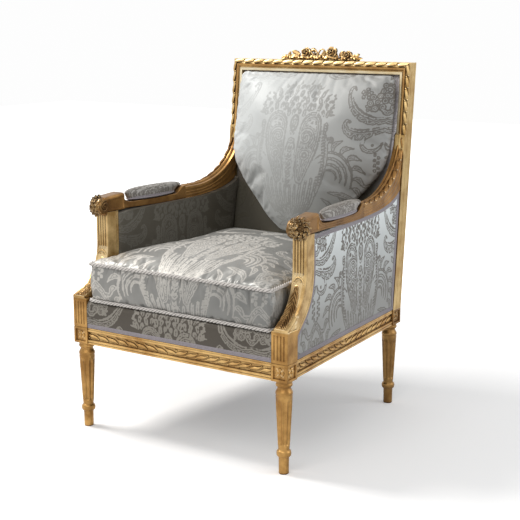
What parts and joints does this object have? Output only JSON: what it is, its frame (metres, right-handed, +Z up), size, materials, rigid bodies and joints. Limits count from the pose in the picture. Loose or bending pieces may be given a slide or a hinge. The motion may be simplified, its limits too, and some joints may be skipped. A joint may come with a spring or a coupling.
{
  "type": "bergere armchair",
  "caption": "Carved and gilt wood bergere armchair with upholstered sides and back, padded arms, fluted tapering legs, a loose corded seat cushion and a loose back cushion.",
  "frame": {"origin": "middle of the chair's outer box, on the floor", "axes": "+Z up, the sitter faces -Y, +X to the right of someone who looks at the chair from the front"},
  "size_m": [0.7, 0.757, 1.0425],
  "materials": {
    "gilt_wood": "gilded and antiqued, satin",
    "bare_beech": "planed, unfinished",
    "steel": "zinc plated",
    "damask": "silk damask, satin pattern on a matt ground",
    "twisted_cord": "twisted cord, two colours",
    "filling": "feather and foam in cotton ticking",
    "jute": "woven webbing",
    "lining": "matt cloth"
  },
  "bodies": {
    "frame": {"front_leg_right": "gilt_wood", "front_leg_left": "gilt_wood", "rear_leg_right": "gilt_wood", "rear_leg_left": "gilt_wood", "front_rail": "gilt_wood", "back_rail": "gilt_wood", "side_rail_right": "gilt_wood", "side_rail_left": "gilt_wood", "arm_post_right": "gilt_wood", "arm_post_left": "gilt_wood", "arm_right": "gilt_wood", "arm_left": "gilt_wood", "arm_sweep_right": "gilt_wood", "arm_sweep_left": "gilt_wood", "top_rail": "gilt_wood", "crest_carving": "gilt_wood", "lower_back_rail": "bare_beech", "front_brace_right": "bare_beech", "front_brace_left": "bare_beech", "rear_brace_right": "bare_beech", "rear_brace_left": "bare_beech", "front_cross_screw_right": "steel", "front_cross_screw_left": "steel", "front_side_screw_right": "steel", "front_side_screw_left": "steel", "rear_cross_screw_right": "steel", "rear_cross_screw_left": "steel", "rear_side_screw_right": "steel", "rear_side_screw_left": "steel", "outside_arm_panel_right": "damask", "outside_arm_panel_left": "damask", "outside_back_panel": "damask", "inside_arm_pad_right": "damask", "inside_arm_pad_left": "damask", "inside_back_pad": "damask", "manchette_right": "damask", "manchette_left": "damask", "seat_deck": "damask", "seat_webbing": "jute", "dust_cover": "lining"},
    "seat_cushion": {"seat_cushion_cover": "damask", "seat_cushion_filling": "filling", "seat_cushion_zip": "lining", "seat_cushion_top_cord": "twisted_cord", "seat_cushion_low_cord": "twisted_cord"},
    "back_cushion": {"back_cushion_cover": "damask", "back_cushion_filling": "filling", "back_cushion_zip": "lining"}
  },
  "joints": [
    {"name": "seat_cushion_slide", "type": "slide", "parent": "frame", "child": "seat_cushion", "axis": [0, -1, 0], "range_m": [0, 0.75]},
    {"name": "back_cushion_slide", "type": "slide", "parent": "frame", "child": "back_cushion", "axis": [0, -0.7071, 0.7071], "range_m": [0, 0.75]}
  ]
}
